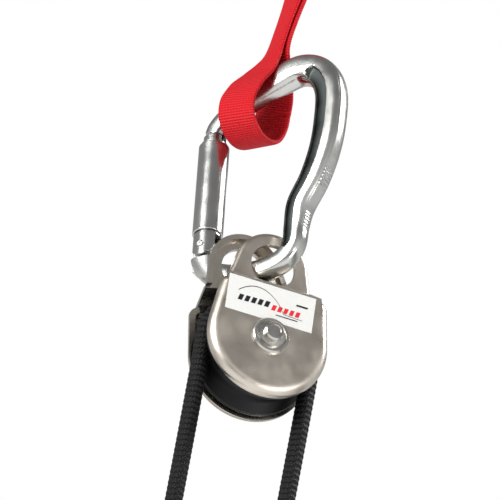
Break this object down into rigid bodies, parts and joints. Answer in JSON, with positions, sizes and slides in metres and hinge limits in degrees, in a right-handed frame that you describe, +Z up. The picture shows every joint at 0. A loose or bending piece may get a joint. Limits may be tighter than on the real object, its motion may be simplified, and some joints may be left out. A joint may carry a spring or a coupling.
{
  "type": "rope pulley on carabiner",
  "caption": "Swing-cheek rope pulley with a black sheave and cord, hung on a screw-gate style locking carabiner from a webbing sling.",
  "frame": {"origin": "middle of the sling's upper eye, which holds everything up", "axes": "+Z up, +X across the pulley from its left rope to its right rope, -Y out of the labelled front cheek along the axle"},
  "size_m": [0.0716, 0.0588, 0.3569],
  "materials": {
    "cheek_steel": "bead-blasted and polished stainless sheet",
    "sheave_nylon": "moulded black nylon",
    "bearing_steel": "ground steel",
    "spacer_plastic": "moulded plastic",
    "bolt_steel": "turned stainless steel",
    "label_film": "printed white film",
    "carabiner_aluminium": "polished forged aluminium",
    "gate_aluminium": "polished turned aluminium",
    "spring_steel": "drawn spring wire",
    "rope_nylon": "braided black cord",
    "webbing_nylon": "woven red webbing",
    "stitch_thread": "red bar tack"
  },
  "bodies": {
    "sling": {"sling": "webbing_nylon", "sling_stitching": "stitch_thread"},
    "carabiner": {"carabiner_body": "carabiner_aluminium", "gate_pin": "bolt_steel"},
    "gate": {"gate": "gate_aluminium", "gate_plunger": "spacer_plastic", "sleeve_ring": "bolt_steel", "gate_spring": "spring_steel", "sleeve_spring": "spring_steel"},
    "sleeve": {"lock_sleeve": "gate_aluminium"},
    "pulley": {"front_cheek": "cheek_steel", "axle_bolt": "bolt_steel", "front_washer": "bolt_steel", "inner_bush": "bearing_steel", "back_washer": "bolt_steel", "axle_nut": "bolt_steel", "front_spacer": "spacer_plastic", "back_spacer": "spacer_plastic", "label": "label_film", "rope": "rope_nylon", "left_knot": "rope_nylon", "right_knot": "rope_nylon"},
    "back_cheek": {"back_cheek": "cheek_steel"},
    "sheave": {"sheave": "sheave_nylon", "sheave_bearing": "bearing_steel"}
  },
  "joints": [
    {"name": "carabiner_swing", "type": "hinge", "parent": "sling", "child": "carabiner", "pos_m": [-0.01273, 0.01517, -0.0878], "axis": [0.5461, -0.6511, 0.5271], "range_deg": [-15, 15]},
    {"name": "gate_open", "type": "hinge", "parent": "carabiner", "child": "gate", "pos_m": [-0.02108, 0.02513, -0.1655], "axis": [0.766, 0.6428, 0], "range_deg": [0, 22], "stiffness_Nm_per_rad": 0.5, "springref_deg": -34.38, "deforming": ["gate_spring"]},
    {"name": "sleeve_twist", "type": "hinge", "parent": "gate", "child": "sleeve", "pos_m": [-0.02108, 0.02513, -0.1655], "axis": [-0.0448, 0.0534, 0.9976], "range_deg": [0, 90], "stiffness_Nm_per_rad": 0.02, "springref_deg": -28.65, "deforming": ["sleeve_spring"]},
    {"name": "pulley_swing", "type": "hinge", "parent": "carabiner", "child": "pulley", "pos_m": [-0.00296, 0.00352, -0.18], "axis": [0.6428, -0.766, 0], "range_deg": [-6, 2]},
    {"name": "back_cheek_rock", "type": "hinge", "parent": "pulley", "child": "back_cheek", "pos_m": [0.00249, 0.00352, -0.222], "axis": [0, 1, 0], "range_deg": [0, 5]},
    {"name": "sheave_spin", "type": "hinge", "parent": "pulley", "child": "sheave", "pos_m": [0.00249, 0.00352, -0.222], "axis": [0, 1, 0], "continuous": true}
  ]
}
